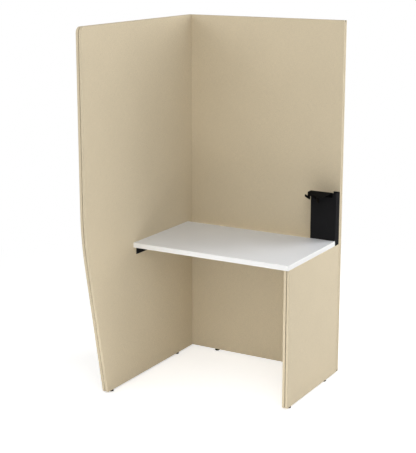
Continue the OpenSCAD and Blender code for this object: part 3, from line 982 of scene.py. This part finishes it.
@dataclass
class Screen:
    """A screen: a board between two padded covers that meet in a narrow joint line."""

    name: str
    stand: Stand
    middle: float
    inner_side: int
    corners: tuple[Corner, ...]
    thickness: float = 30 * MM
    board: float = 16 * MM
    rim: float = 8 * MM
    joint: float = 3 * MM
    face_radius: float = 2.4 * MM
    lip_radius: float = 1.5 * MM
    crown: float = 0.9 * MM
    ripple: float = 0.16 * MM
    pitch: float = 16 * MM
    arc_steps: int = 8
    face_steps: int = 7
    lip_steps: int = 5
    least_round: float = 0.5 * MM

    def ring(self, inset: float) -> list[Vector]:
        """Return the outline drawn in by a distance, with its corners rounded.

        Args:
            inset: How far it is drawn in.

        Returns:
            The outline's points, anticlockwise.
        """
        points: list[Vector] = []
        count = len(self.corners)
        for index, corner in enumerate(self.corners):
            here = Vector((corner.across, corner.up))
            sides = [self.corners[(index + step) % count] for step in (-1, 1)]
            first, second = [(Vector((c.across, c.up)) - here).normalized() for c in sides]
            half = first.angle(second) / 2
            radius = max(corner.radius, inset + self.least_round)
            centre = here + (first + second).normalized() * radius / math.sin(half)
            spoke = here + first * radius / math.tan(half) - centre
            for step in range(self.arc_steps + 1):
                turn = Matrix.Rotation((math.pi - 2 * half) * step / self.arc_steps, 2)
                points.append(centre + turn @ spoke * (radius - inset) / radius)
        return points

    def rim_steps(self) -> list[RimStep]:
        """Return the rings of the rim, from the edge of the flat face to the board.

        Returns:
            The rings in order.
        """
        half, face, lip = self.thickness / 2, self.face_radius, self.lip_radius
        steps = []
        for index in range(1, self.face_steps + 1):
            turn = math.pi / 2 * index / self.face_steps
            steps.append(RimStep(half - face * (1 - math.cos(turn)), face * (1 - math.sin(turn)),
                                 face * turn))
        flat = half - face - self.joint / 2 - lip
        travel = face * math.pi / 2 + flat
        for index in range(self.lip_steps + 1):
            turn = math.pi / 2 * index / self.lip_steps
            steps.append(RimStep(self.joint / 2 + lip * (1 - math.sin(turn)),
                                 lip * (1 - math.cos(turn)), travel + lip * turn))
        travel += lip * math.pi / 2 + self.rim - lip
        steps.append(RimStep(self.joint / 2, self.rim, travel))
        steps.append(RimStep(self.board / 2, self.rim, travel + self.board / 2 - self.joint / 2))
        return steps

    def place(self, across: float, up: float, out: float) -> Vector:
        """Turn a place on the screen into a point of the booth.

        Args:
            across: The place across the screen.
            up: The place up the screen.
            out: How far it lies from the screen's middle plane.

        Returns:
            The point.
        """
        if self.stand is Stand.ALONG_Y:
            return Vector((self.middle + out, across, up))
        return Vector((across, self.middle + out, up))

    def swell(self, across: float, up: float) -> float:
        """Say how far the padded face stands proud of flat at a place.

        Args:
            across: The place across the screen.
            up: The place up the screen.

        Returns:
            The height of the pad there, in metres.
        """
        wave_grain, pull_grain = 4.5, 24.0
        wave_layer, pull_layer = self.middle * 10, self.middle * 7 + 3
        pad_reach, wave_reach, pull_start, pull_end = 50 * MM, 60 * MM, 4 * MM, 30 * MM
        depths = []
        for index, corner in enumerate(self.corners):
            following = self.corners[(index + 1) % len(self.corners)]
            side = Vector((following.across - corner.across, following.up - corner.up))
            depths.append(side.normalized().cross(Vector((across - corner.across, up - corner.up))))
        depth = max(0.0, min(depths) - self.face_radius)

        def risen(reach: float) -> float:
            """Return how far a slope of some reach has risen at this depth."""
            return 1 - math.exp(-depth / reach)

        wave = noise.noise(Vector((across * wave_grain, up * wave_grain, wave_layer)))
        pull = noise.noise(Vector((across * pull_grain, up * pull_grain, pull_layer)))
        edge = (1 - risen(pull_end)) * risen(pull_start)
        return (self.crown * risen(pad_reach)
                + self.ripple * (2 * wave * risen(wave_reach) + pull * edge))

    def cover(self, which: str) -> bpy.types.Object:
        """Model one padded cover.

        Args:
            which: inner or outer.

        Returns:
            The cover, a closed shell with its cloth pattern flattened in its UV map.
        """
        side = self.inner_side if which == "inner" else -self.inner_side
        mesh = bmesh.new()
        pattern: dict[bmesh.types.BMVert, Point] = {}
        start = self.ring(self.face_radius)
        mesh.faces.new([mesh.verts.new((p.x, p.y, 0)) for p in start])
        for axis in range(2):
            low, high = min(p[axis] for p in start), max(p[axis] for p in start)
            count = math.ceil((high - low) / self.pitch)
            for index in range(1, count):
                place = Vector((0, 0, 0))
                place[axis] = low + (high - low) * index / count
                normal = Vector((0, 0, 0))
                normal[axis] = 1
                bmesh.ops.bisect_plane(mesh, geom=mesh.verts[:] + mesh.edges[:] + mesh.faces[:],
                                       dist=SAME_PLACE / 10, plane_co=place, plane_no=normal)
        border = self.border(mesh)
        anchors = [self.anchor(Vector((v.co.x, v.co.y)), start) for v in border]
        for vertex in mesh.verts:
            across, up = vertex.co.x, vertex.co.y
            pattern[vertex] = (across, up)
            lift = self.thickness / 2 + (0.0 if vertex.is_boundary else self.swell(across, up))
            vertex.co = self.place(across, up, side * lift)
        outer = self.ring(0.0)
        previous = border
        for step in self.rim_steps():
            path = self.ring(step.inset)
            current = []
            for vertex, (index, share) in zip(border, anchors):
                following = (index + 1) % len(path)
                spot = path[index].lerp(path[following], share)
                away = (outer[index].lerp(outer[following], share) - start[index].lerp(
                    start[following], share)).normalized()
                made = mesh.verts.new(self.place(spot.x, spot.y, side * step.height))
                base = pattern[vertex]
                pattern[made] = (base[0] + away.x * step.travel, base[1] + away.y * step.travel)
                current.append(made)
            for index in range(len(current)):
                after = (index + 1) % len(current)
                mesh.faces.new((previous[index], previous[after], current[after], current[index]))
            previous = current
        mesh.faces.new(previous)
        bmesh.ops.recalc_face_normals(mesh, faces=mesh.faces[:])
        layer = mesh.loops.layers.uv.new("cloth")
        for face in mesh.faces:
            face.smooth = True
            for loop in face.loops:
                loop[layer].uv = pattern[loop.vert]
        data = bpy.data.meshes.new(f"{self.name}_{which}_upholstery")
        mesh.to_mesh(data)
        mesh.free()
        piece = bpy.data.objects.new(data.name, data)
        bpy.context.scene.collection.objects.link(piece)
        return piece

    @staticmethod
    def border(mesh: bmesh.types.BMesh) -> list[bmesh.types.BMVert]:
        """Go once round the border of an open mesh.

        Args:
            mesh: The mesh.

        Returns:
            The border's vertices in order.
        """
        edge = next(e for e in mesh.edges if e.is_boundary)
        first = edge.verts[0]
        ordered, vertex = [first], edge.verts[1]
        while vertex is not first:
            ordered.append(vertex)
            edge = next(e for e in vertex.link_edges if e.is_boundary and e is not edge)
            vertex = edge.other_vert(vertex)
        return ordered

    @staticmethod
    def anchor(spot: Vector, path: list[Vector]) -> tuple[int, float]:
        """Find where a point lies on a closed path.

        Args:
            spot: The point.
            path: The path's points.

        Returns:
            The index of the path's stretch, and the share of the way along it.
        """
        best = (math.inf, 0, 0.0)
        for index, begin in enumerate(path):
            along = path[(index + 1) % len(path)] - begin
            if along.length < SAME_PLACE / 1000:
                continue
            share = max(0.0, min(1.0, (spot - begin).dot(along) / along.length_squared))
            gap = (begin + along * share - spot).length
            if gap < best[0] - SAME_PLACE / 1000:
                best = (gap, index, share)
        return best[1], best[2]

    def build(self, cutters: Callable[[str], list[bpy.types.Object]] | None = None) -> None:
        """Model both covers, which lie on either side of the board.

        Args:
            cutters: Gives the shapes that are cut out of the inner or the outer cover.
        """
        for which in ("inner", "outer"):
            piece = self.cover(which)
            if cutters:
                Bench.carve(piece, cutters(which))
            settle(piece, "booth", Finish.CLOTH, f"{self.name}_{which}_cover")


def rectangle(low: Vector, high: Vector, axis: int, radius: float) -> tuple[Corner, ...]:
    """Return the corners of an upright rectangle.

    Args:
        low: The lowest corner of the screen's box.
        high: Its highest corner.
        axis: The axis that the screen's width runs along.
        radius: The radius of each corner.

    Returns:
        The corners, anticlockwise from the lowest.
    """
    return tuple(Corner(side[axis], end.z, radius)
                 for side, end in ((low, low), (high, low), (high, high), (low, high)))


def screens() -> list[Screen]:
    """Return the booth's three screens, placed by the construction's own boxes.

    Returns:
        The side screen, the back screen and the low end panel.
    """
    side_low, side_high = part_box("side_inner_cover")
    back_low, back_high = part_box("back_inner_cover")
    end_low, end_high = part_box("end_outer_cover")
    half = 15 * MM
    plain, toe, crown, waist = 3 * MM, 12 * MM, 28 * MM, 1500 * MM
    lean_back, waist_height = 152 * MM, 820 * MM
    side = Screen("side", Stand.ALONG_Y, side_high.x - half, 1, (
        Corner(side_low.y + lean_back, side_low.z, toe),
        Corner(side_high.y, side_low.z, plain),
        Corner(side_high.y, side_high.z, plain),
        Corner(side_low.y, side_high.z, crown),
        Corner(side_low.y, waist_height, waist)))
    back = Screen("back", Stand.ALONG_X, back_low.y + half, -1,
                  rectangle(back_low, back_high, 0, plain))
    end = Screen("end", Stand.ALONG_Y, end_high.x - half, -1,
                 rectangle(end_low, end_high, 1, plain))
    return [side, back, end]


# Worktop


def rise(edge: bmesh.types.BMEdge) -> float:
    """Return how much higher one end of an edge lies than the other."""
    return abs(edge.verts[0].co.z - edge.verts[1].co.z)


def upright(face: bmesh.types.BMFace) -> bool:
    """Say whether a face stands upright rather than lies flat."""
    return abs(face.normal.z) < 0.5


@dataclass
class Worktop:
    """The white board and the band round its edges."""

    band: float = 2 * MM
    band_radius: float = 1.5 * MM
    corner_radius: float = 3 * MM
    glue_line: float = 0.2 * MM
    level: float = 0.01 * MM

    def build(self) -> None:
        """Model the board and the band, and put them on the booth."""
        board = self.slab("worktop_sheet", "worktop_board", self.corner_radius - self.band, 4)
        Bench.pick(board, "EDGE", lambda e: rise(e) < self.level
                   and any(map(upright, e.link_faces)))
        bpy.ops.mesh.bevel(offset=self.glue_line, segments=1)
        settle(Bench.finish(board), "booth", Finish.TOP, "worktop_board")
        band = self.slab("worktop_band", "worktop_edge_band", self.corner_radius, 8)
        Bench.pick(band, "FACE", lambda f: not upright(f))
        bpy.ops.mesh.inset(thickness=self.band, use_even_offset=True)
        bpy.ops.mesh.bridge_edge_loops()
        Bench.pick(band, "EDGE", self.outside)
        bpy.ops.mesh.bevel(offset=self.band_radius, segments=4)
        settle(Bench.finish(band, angle=50), "booth", Finish.BAND, "worktop_edge_band")

    def slab(self, name: str, node: str, radius: float, segments: int) -> bpy.types.Object:
        """Add a flat slab in a node's place, with its upright edges rounded.

        Args:
            name: The slab's name.
            node: The construction node whose box it fills.
            radius: The radius of its upright edges.
            segments: How finely they are rounded.

        Returns:
            The slab.
        """
        slab = Bench.cube(name, *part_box(node))
        Bench.pick(slab, "EDGE", lambda e: rise(e) > self.level)
        bpy.ops.mesh.bevel(offset=radius, segments=segments)
        return slab

    def outside(self, edge: bmesh.types.BMEdge) -> bool:
        """Say whether an edge of the band is level and runs along its outer side.

        Args:
            edge: The edge.

        Returns:
            Whether it does.
        """
        if rise(edge) >= self.level or not any(map(upright, edge.link_faces)):
            return False
        low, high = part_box("worktop_edge_band")
        spot = (edge.verts[0].co + edge.verts[1].co) / 2
        return any(min(spot[axis] - low[axis], high[axis] - spot[axis]) < self.band / 2
                   for axis in range(2))


# Steelwork


@dataclass
class HookBracket:
    """The bracket on the post: a plate with a slanted front edge, a flange on the post,
    and bent strips along the slanted edge: a hook, a lip and an ear."""

    plate: float = 3 * MM
    flange: float = 26 * MM
    lip: float = 13 * MM
    ear: float = 24 * MM
    ear_width: float = 38 * MM
    drop: float = 29 * MM
    tongue: float = 35 * MM
    reach: float = 11.5 * MM
    rise: float = 7.5 * MM
    nose: float = 10.5 * MM
    relief: float = 2 * MM
    slot: float = 1 * MM
    left_depth: float = 44 * MM
    left_gap: float = 1 * MM
    width: float = 117 * MM
    fold: float = 4 * MM
    tight_fold: float = 1.2 * MM
    end_radius: float = 3 * MM
    root: float = 10 * MM
    sink: float = 0.02 * MM
    burr: float = 0.35 * MM
    least_fold: float = 0.3
    start: Vector = field(default_factory=Vector)
    along: Vector = field(default_factory=lambda: Vector((1, -1, 0)).normalized())
    out: Vector = field(default_factory=lambda: Vector((-1, -1, 0)).normalized())

    def build(self) -> None:
        """Fold the plate and its strips, and join them to one bracket."""
        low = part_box("cable_post")[0]
        top, left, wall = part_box("hook_bracket")[1].z, low.x + self.left_gap, low.y
        self.start = Vector((left, wall - self.left_depth, top))
        length = self.width * math.sqrt(2)
        hook_end = self.relief + self.tongue
        ear_start = length - self.relief - self.ear_width
        down = Vector((0, 0, -1))
        strips = (
            (self.relief, hook_end, (down * self.drop, self.out * self.reach - down * self.rise,
                                     -down * self.nose)),
            (hook_end + self.slot, ear_start - self.slot, (down * self.lip,)),
            (ear_start, length - self.relief, (down * self.ear,)))
        cutters = [self.strip(begin, stop, steps) for begin, stop, steps in strips]
        piece = self.top_plate(left, wall, top)
        Bench.carve(piece, cutters, "UNION")
        # The bracket wears the black coat with painted shade.
        settle(Bench.finish(piece, angle=35), "booth", Finish.HOOK, "hook_bracket")

    def sheet(self, name: str, corners: Sequence[Vector]) -> bpy.types.Object:
        """Add a plane and move its corners.

        Args:
            name: The sheet's name.
            corners: The four corners, anticlockwise seen from above.

        Returns:
            The sheet, still without thickness.
        """
        Bench.clear()
        bpy.ops.mesh.primitive_plane_add(size=1)
        piece = bpy.context.object
        piece.name = name
        mesh = Bench.edit(piece, "VERT")
        order = {(-1, -1): 0, (1, -1): 1, (1, 1): 2, (-1, 1): 3}
        for vertex in mesh.verts:
            key = (1 if vertex.co.x > 0 else -1, 1 if vertex.co.y > 0 else -1)
            vertex.co = corners[order[key]]
        bmesh.update_edit_mesh(piece.data)
        return piece

    def top_plate(self, left: float, wall: float, top: float) -> bpy.types.Object:
        """Fold the plate, whose slanted edge stays behind the strips' bends.

        Args:
            left: Where its left edge lies along X.
            wall: Where the post's face lies along Y.
            top: Where its upper face lies along Z.

        Returns:
            The plate with its flange.
        """
        setback = self.fold + self.sink
        inside = self.start - self.out * setback - self.along * setback
        right = left + self.width
        front = inside.y - (right - inside.x)
        piece = self.sheet("folded_hook_bracket", (
            Vector((left, inside.y - (left - inside.x), top)), Vector((right, front, top)),
            Vector((right, wall, top)), Vector((left, wall, top))))
        self.pull(piece, lambda e: all(abs(v.co.y - wall) < SAME_PLACE for v in e.verts),
                  (Vector((0, 0, -self.flange)),))
        return self.thicken(piece, self.plate, lambda v: v.co.z < top - self.flange / 2)

    def strip(self, begin: float, stop: float, steps: Sequence[Vector]) -> bpy.types.Object:
        """Bend one strip down from the slanted edge.

        Args:
            begin: Where it starts along the slanted edge.
            stop: Where it ends.
            steps: The moves that draw the strip out, one per flat part.

        Returns:
            The strip, with a root that lies inside the plate.
        """
        sunk = Vector((0, 0, -self.sink))
        near, far = (self.start + self.along * place + sunk for place in (begin, stop))
        back = self.out * -self.root
        piece = self.sheet("strip", (near, far, far + back, near + back))
        self.pull(piece, lambda e: all(abs((v.co - self.start).dot(self.out)) < SAME_PLACE
                                       for v in e.verts), steps)
        return self.thicken(piece, self.plate - 2 * self.sink,
                            lambda v: v.co.z < self.start.z - self.fold * 2)

    def pull(self, piece: bpy.types.Object, edge: Callable[[bmesh.types.BMEdge], bool],
             steps: Sequence[Vector]) -> None:
        """Draw an edge of a sheet out, step by step.

        Args:
            piece: The sheet.
            edge: Says whether an edge is the one that is drawn out.
            steps: The moves, one per flat part.
        """
        Bench.pick(piece, "EDGE", edge)
        for step in steps:
            bpy.ops.mesh.extrude_region_move(TRANSFORM_OT_translate={"value": step})

    def thicken(self, piece: bpy.types.Object, thickness: float,
                free: Callable[[bmesh.types.BMVert], bool]) -> bpy.types.Object:
        """Round a sheet's free corners and folds, and give it its thickness.

        Args:
            piece: The sheet.
            thickness: How thick it gets, away from its outer face.
            free: Says whether a corner is at the sheet's free end.

        Returns:
            The bent sheet.
        """
        Bench.pick(piece, "VERT", lambda v: len(v.link_edges) == 2 and free(v))
        bpy.ops.mesh.bevel(offset=self.end_radius, segments=3, affect="VERTICES")
        for radius, sign in ((self.fold, 1), (self.tight_fold, -1)):
            if Bench.pick(piece, "EDGE", lambda e: len(e.link_faces) == 2
                          and e.calc_face_angle_signed(0.0) * sign > self.least_fold):
                bpy.ops.mesh.bevel(offset=radius, segments=5)
        Bench.modify(piece, "SOLIDIFY", thickness=thickness, offset=-1.0, use_even_offset=True)
        Bench.modify(piece, "BEVEL", width=self.burr, segments=2, limit_method="ANGLE",
                     angle_limit=SHARP)
        return piece


@dataclass
class Steelwork:
    """The post, the angles and their fasteners, which keep their construction shapes."""

    coated: tuple[str, ...] = ("side_rail", "end_brackets", "cable_post")
    screws: tuple[str, ...] = ("side_rail_screws", "end_bracket_screws", "cable_post_screws",
                               "hook_rivets")

    def build(self) -> None:
        """Dress the steel and model the hook bracket."""
        for node in self.coated:
            Finish.STEEL.dress(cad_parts[node])
        for node in self.screws:
            Finish.SCREW.dress(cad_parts[node])
        HookBracket().build()


# Feet and fasteners


@dataclass
class Feet:
    """The levelling feet: each a turned nylon pad on a threaded stem. One is modelled and
    the others are copies of it."""

    names: tuple[str, ...] = ("side_front", "side_rear", "back_left", "back_right", "end_front",
                              "end_rear")
    rim: float = 4 * MM
    disc: float = 6 * MM
    neck: float = 9 * MM
    slope: float = 2.5 * MM
    ribs: int = 48
    rib_depth: float = 0.6 * MM
    thread_pitch: float = 1.25 * MM
    thread_depth: float = 0.55 * MM
    thread_steps: int = 20
    thread_sunk: float = 0.2 * MM
    thread_profile: tuple[float, ...] = (0.0, 0.4, 0.55, 0.95)
    plain_turns: int = 2
    stem_sides: int = 32
    stem_burr: float = 0.8 * MM
    hollow_rim: float = 1.5 * MM
    hollow_depth: float = 0.6 * MM
    rib_gap: float = 0.25 * MM
    neck_burr: float = 0.5 * MM

    def build(self) -> None:
        """Model one pad and one stem, copy them, and put each on its foot's body."""
        first = self.names[0]
        models = ((self.pad(first), "pad", "glide", Finish.NYLON),
                  (self.stem(first), "stem", "threaded_stem", Finish.ZINC))
        for model, part, label, finish in models:
            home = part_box(f"{first}_{part}")[0]
            pieces = [model] + [self.copied(model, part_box(f"{name}_{part}")[0] - home)
                                for name in self.names[1:]]
            for piece, name in zip(pieces, self.names):
                piece.name = f"{name}_{label}"
                settle(piece, f"{name}_foot", finish, f"{name}_{part}")

    @staticmethod
    def copied(model: bpy.types.Object, move: Vector) -> bpy.types.Object:
        """Copy a piece, with a mesh of its own.

        Args:
            model: The piece that is copied.
            move: How far the copy's mesh is moved.

        Returns:
            The copy.
        """
        piece = model.copy()
        piece.data = model.data.copy()
        piece.data.transform(Matrix.Translation(move))
        bpy.context.scene.collection.objects.link(piece)
        return piece

    def pad(self, name: str) -> bpy.types.Object:
        """Turn the pad, with grip ribs round its rim and a six-sided neck.

        Args:
            name: The foot that it is modelled on.

        Returns:
            The pad.
        """
        low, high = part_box(f"{name}_pad")
        centre = (low + high) / 2
        radius = (high.x - low.x) / 2 - self.rib_depth
        pad = Bench.rod("glide", (centre.x, centre.y, self.rim / 2), radius, self.rim, self.ribs)
        Bench.pick(pad, "FACE", lambda f: f.normal.z > LEVEL_NORMAL)
        bpy.ops.mesh.extrude_region_move(
            TRANSFORM_OT_translate={"value": Vector((0, 0, self.disc - self.rim))})
        share = (radius - self.slope) / radius
        bpy.ops.transform.resize(value=(share, share, 1), center_override=centre)
        Bench.pick(pad, "FACE", lambda f: f.normal.z < -LEVEL_NORMAL)
        bpy.ops.mesh.inset(thickness=self.hollow_rim, depth=-self.hollow_depth)

        def is_rib(face: bmesh.types.BMFace) -> bool:
            """Say whether a side face carries a rib: every other one does.

            Args:
                face: The face.

            Returns:
                Whether it does.
            """
            if not upright(face) or face.calc_center_median().z > self.rim:
                return False
            turn = math.atan2(face.normal.y, face.normal.x) / (2 * math.pi) * self.ribs
            return round(turn - 0.5) % 2 == 0

        Bench.pick(pad, "FACE", is_rib)
        bpy.ops.mesh.inset(thickness=self.rib_gap, depth=self.rib_depth, use_individual=True)
        neck = Bench.rod("neck", (centre.x, centre.y, (self.rim + high.z) / 2), self.neck,
                         high.z - self.rim, sides=6)
        Bench.modify(neck, "BEVEL", width=self.neck_burr, segments=2)
        Bench.carve(pad, [neck], "UNION")
        return Bench.finish(pad, angle=35)

    def stem(self, name: str) -> bpy.types.Object:
        """Cut the stem's thread as one winding along its length.

        Args:
            name: The foot that it is modelled on.

        Returns:
            The stem.
        """
        low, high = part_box(f"{name}_stem")
        centre = (low + high) / 2
        radius = (high.x - low.x) / 2
        root = radius - self.thread_depth
        turns = math.floor((high.z - low.z) / self.thread_pitch) - self.plain_turns
        data = bpy.data.meshes.new("thread")
        start = low.z + self.thread_pitch
        sunk = root - self.thread_sunk
        points = [(reach, 0.0, start + share * self.thread_pitch)
                  for reach, share in zip((sunk, radius, radius, sunk), self.thread_profile)]
        data.from_pydata(points, [(i, (i + 1) % len(points)) for i in range(len(points))], [])
        thread = bpy.data.objects.new(data.name, data)
        bpy.context.scene.collection.objects.link(thread)
        Bench.modify(thread, "SCREW", angle=math.tau, screw_offset=self.thread_pitch,
                     steps=self.thread_steps, render_steps=self.thread_steps, iterations=turns)
        Bench.edit(thread, "VERT")
        bpy.ops.mesh.select_all(action="SELECT")
        bpy.ops.mesh.fill_holes(sides=4)
        bpy.ops.mesh.normals_make_consistent(inside=False)
        Bench.clear()
        thread.data.transform(Matrix.Translation((centre.x, centre.y, 0)))
        core = Bench.rod("threaded_stem", centre, root, high.z - low.z, self.stem_sides)
        Bench.modify(core, "BEVEL", width=self.stem_burr, segments=2, limit_method="ANGLE",
                     angle_limit=SHARP)
        Bench.carve(core, [thread], "UNION")
        return Bench.finish(core, angle=30)


@dataclass
class Fasteners:
    """The hidden hardware, which keeps its construction shapes."""

    finishes: dict[str, Finish] = field(default_factory=lambda: {
        "side_core": Finish.CORE, "back_core": Finish.CORE, "end_core": Finish.CORE,
        "corner_bolts": Finish.ZINC, "corner_nuts": Finish.BRASS, "foot_nuts": Finish.BRASS,
        "bolt_caps": Finish.CAP, "corner_plugs": Finish.NYLON})

    def build(self) -> None:
        """Dress each node in its finish."""
        for node, finish in self.finishes.items():
            finish.dress(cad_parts[node])


# The studio


@dataclass(frozen=True)
class Lamp:
    """A soft lamp: where it stands, its power and size, and what it points at."""

    name: str
    place: tuple[float, float, float]
    power: float
    size: float = 3.0
    aim: tuple[float, float, float] = (0.0, 0.0, 0.8)


@dataclass
class Studio:
    """A white floor under soft light, seen from where the picture was taken."""

    eye: tuple[float, float, float] = (2.7684, -4.8571, 2.214)
    pitch: float = 77.008
    yaw: float = 30.074
    focal_pixels: float = 1185.07
    picture: tuple[int, int] = (416, 453)
    axis_pixel: tuple[float, float] = (208.0, 208.0)
    sensor: float = 36.0
    sight: float = 200.0
    world_light: float = 0.236
    floor_size: float = 120.0
    floor_colour: Colour = (0.86, 0.86, 0.86)
    floor_roughness: float = 0.9
    floor_lift: float = 0.53
    floor_fade: tuple[float, float] = (0.9, 3.0)
    lamps: tuple[Lamp, ...] = (
        Lamp("rear_right", (3.415, 3.415, 2.094), 103.8),
        Lamp("rear", (0.0, 4.83, 2.094), 41.4),
        Lamp("rear_right_high", (2.5, 2.5, 4.336), 45.0),
        Lamp("front_right_high", (2.5, -2.5, 4.336), 41.1),
        Lamp("front_left", (-3.0, -3.0, 3.2), 45.6, 2.5, (0.0, 0.0, 0.9)),
        Lamp("front_right", (2.2, -3.6, 3.0), 35.7, 2.5),
        Lamp("front", (-1.5, -4.4, 2.2), 25.8, 2.5),
        Lamp("knees", (0.12, -0.95, 0.1), 3.1, 0.4, (-0.08, 0.4, 0.0)),
    )

    def build(self) -> None:
        """Set up the camera, the world, the floor and the lamps."""
        self.camera()
        self.world()
        self.floor()
        for lamp in self.lamps:
            self.light(lamp)
        bpy.context.scene.view_settings.view_transform = "Standard"

    def camera(self) -> None:
        """Stand the camera where the picture was taken."""
        data = bpy.data.cameras.new("picture_camera")
        width, height = self.picture
        data.sensor_width = self.sensor
        data.lens = self.focal_pixels / max(width, height) * self.sensor
        data.shift_x = (width / 2 - self.axis_pixel[0]) / max(width, height)
        data.shift_y = -(height / 2 - self.axis_pixel[1]) / max(width, height)
        data.clip_end = self.sight
        camera = bpy.data.objects.new("picture_camera", data)
        camera.location = self.eye
        camera.rotation_euler = (math.radians(self.pitch), 0, math.radians(self.yaw))
        bpy.context.scene.collection.objects.link(camera)
        bpy.context.scene.camera = camera

    def world(self) -> None:
        """Light evenly from all round, and show white to the camera and in gloss."""
        world = bpy.data.worlds.new("studio_white")
        world.use_nodes = True
        bpy.context.scene.world = world
        wiring = Wiring(world.node_tree)
        ground = world.node_tree.nodes["Background"]
        path = wiring.node("ShaderNodeLightPath")
        seen = wiring.math("MAXIMUM", path.outputs["Is Camera Ray"],
                           wiring.math("MAXIMUM", path.outputs["Is Glossy Ray"],
                                       path.outputs["Is Transmission Ray"]))
        wiring.feed(ground.inputs["Color"], WHITE)
        wiring.feed(ground.inputs["Strength"], wiring.remap(seen, 0.0, 1.0, self.world_light, 1.0))

    def floor(self) -> None:
        """Lay a large white floor that still takes the booth's shadow."""
        Bench.clear()
        bpy.ops.mesh.primitive_plane_add(size=self.floor_size, location=(0, 0, 0))
        plane = bpy.context.object
        plane.name = "studio_floor"
        material = bpy.data.materials.new("studio_floor")
        material.use_nodes = True
        wiring = Wiring(material.node_tree)
        surface = material.node_tree.nodes["Principled BSDF"]
        wiring.feed(surface.inputs["Roughness"], self.floor_roughness)
        wiring.feed(surface.inputs["Specular IOR Level"], 0.0)
        path = wiring.node("ShaderNodeLightPath")
        place = wiring.node("ShaderNodeTexCoord")
        reach = wiring.node("ShaderNodeVectorMath", operation="LENGTH")
        wiring.feed(reach.inputs[0], place.outputs["Object"])
        far = wiring.remap(reach.outputs["Value"], *self.floor_fade)
        seen = path.outputs["Is Camera Ray"]
        wiring.feed(surface.inputs["Base Color"],
                    wiring.blend(wiring.math("MULTIPLY", seen, far), self.floor_colour, BLACK))
        lift = wiring.remap(far, 0.0, 1.0, self.floor_lift, 1.0)
        wiring.feed(surface.inputs["Emission Color"], WHITE)
        wiring.feed(surface.inputs["Emission Strength"], wiring.math("MULTIPLY", seen, lift))
        plane.data.materials.append(material)
        plane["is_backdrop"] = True

    def light(self, lamp: Lamp) -> None:
        """Hang one soft lamp and point it at its aim.

        Args:
            lamp: The lamp.
        """
        data = bpy.data.lights.new(lamp.name, "AREA")
        data.shape = "DISK"
        data.size = lamp.size
        data.energy = lamp.power
        item = bpy.data.objects.new(lamp.name, data)
        item.location = lamp.place
        beam = Vector(lamp.aim) - Vector(lamp.place)
        item.rotation_euler = beam.to_track_quat("-Z", "Y").to_euler()
        item.visible_camera = False
        bpy.context.scene.collection.objects.link(item)


def cap_holes(which: str) -> list[bpy.types.Object]:
    """Return the shapes that the back screen's covers leave open.

    Args:
        which: inner or outer.

    Returns:
        Rods for the bolts' caps at the rear, and boxes for the corner plugs.
    """
    overcut, cap_play, cap_depth, cap_sides = MM, 0.3 * MM, 20 * MM, 48
    cutters: list[bpy.types.Object] = []
    for low, high in solids(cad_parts["corner_plugs"]):
        for axis in (0, 2):
            if low[axis] > (CAD_BOX[0][axis] + CAD_BOX[1][axis]) / 2:
                high[axis] += overcut
            else:
                low[axis] -= overcut
        cutters.append(Bench.cube("plug_room", low, high))
    if which == "outer":
        for low, high in solids(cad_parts["bolt_caps"]):
            middle, radius = (low + high) / 2, (high.x - low.x) / 2 + cap_play
            cutters.append(Bench.rod("cap_room", middle, radius, cap_depth, cap_sides, "Y"))
    return cutters


def solids(node: bpy.types.Object) -> list[tuple[Vector, Vector]]:
    """Return the box of each separate solid in a construction node.

    Args:
        node: The node's object.

    Returns:
        The lowest and highest corner of each solid.
    """
    mesh = bmesh.new()
    mesh.from_mesh(node.data)
    bmesh.ops.remove_doubles(mesh, verts=mesh.verts[:], dist=SAME_PLACE)
    left = set(mesh.verts)
    boxes = []
    while left:
        group, queue = set(), [next(iter(left))]
        while queue:
            vertex = queue.pop()
            if vertex in group:
                continue
            group.add(vertex)
            queue.extend(e.other_vert(vertex) for e in vertex.link_edges)
        left -= group
        boxes.append((Vector([min(v.co[i] for v in group) for i in range(3)]),
                      Vector([max(v.co[i] for v in group) for i in range(3)])))
    mesh.free()
    return sorted(boxes, key=lambda box: tuple(round(c, 4) for c in box[0]))


def main() -> None:
    """Build the booth's looks from the frame, piece by piece."""
    logging.basicConfig(level=logging.INFO, format="%(name)s: %(message)s")
    Studio().build()
    for screen in screens():
        screen.build(cap_holes if screen.name == "back" else None)
    Worktop().build()
    Steelwork().build()
    Feet().build()
    Fasteners().build()


if __name__ == "__main__":
    main()
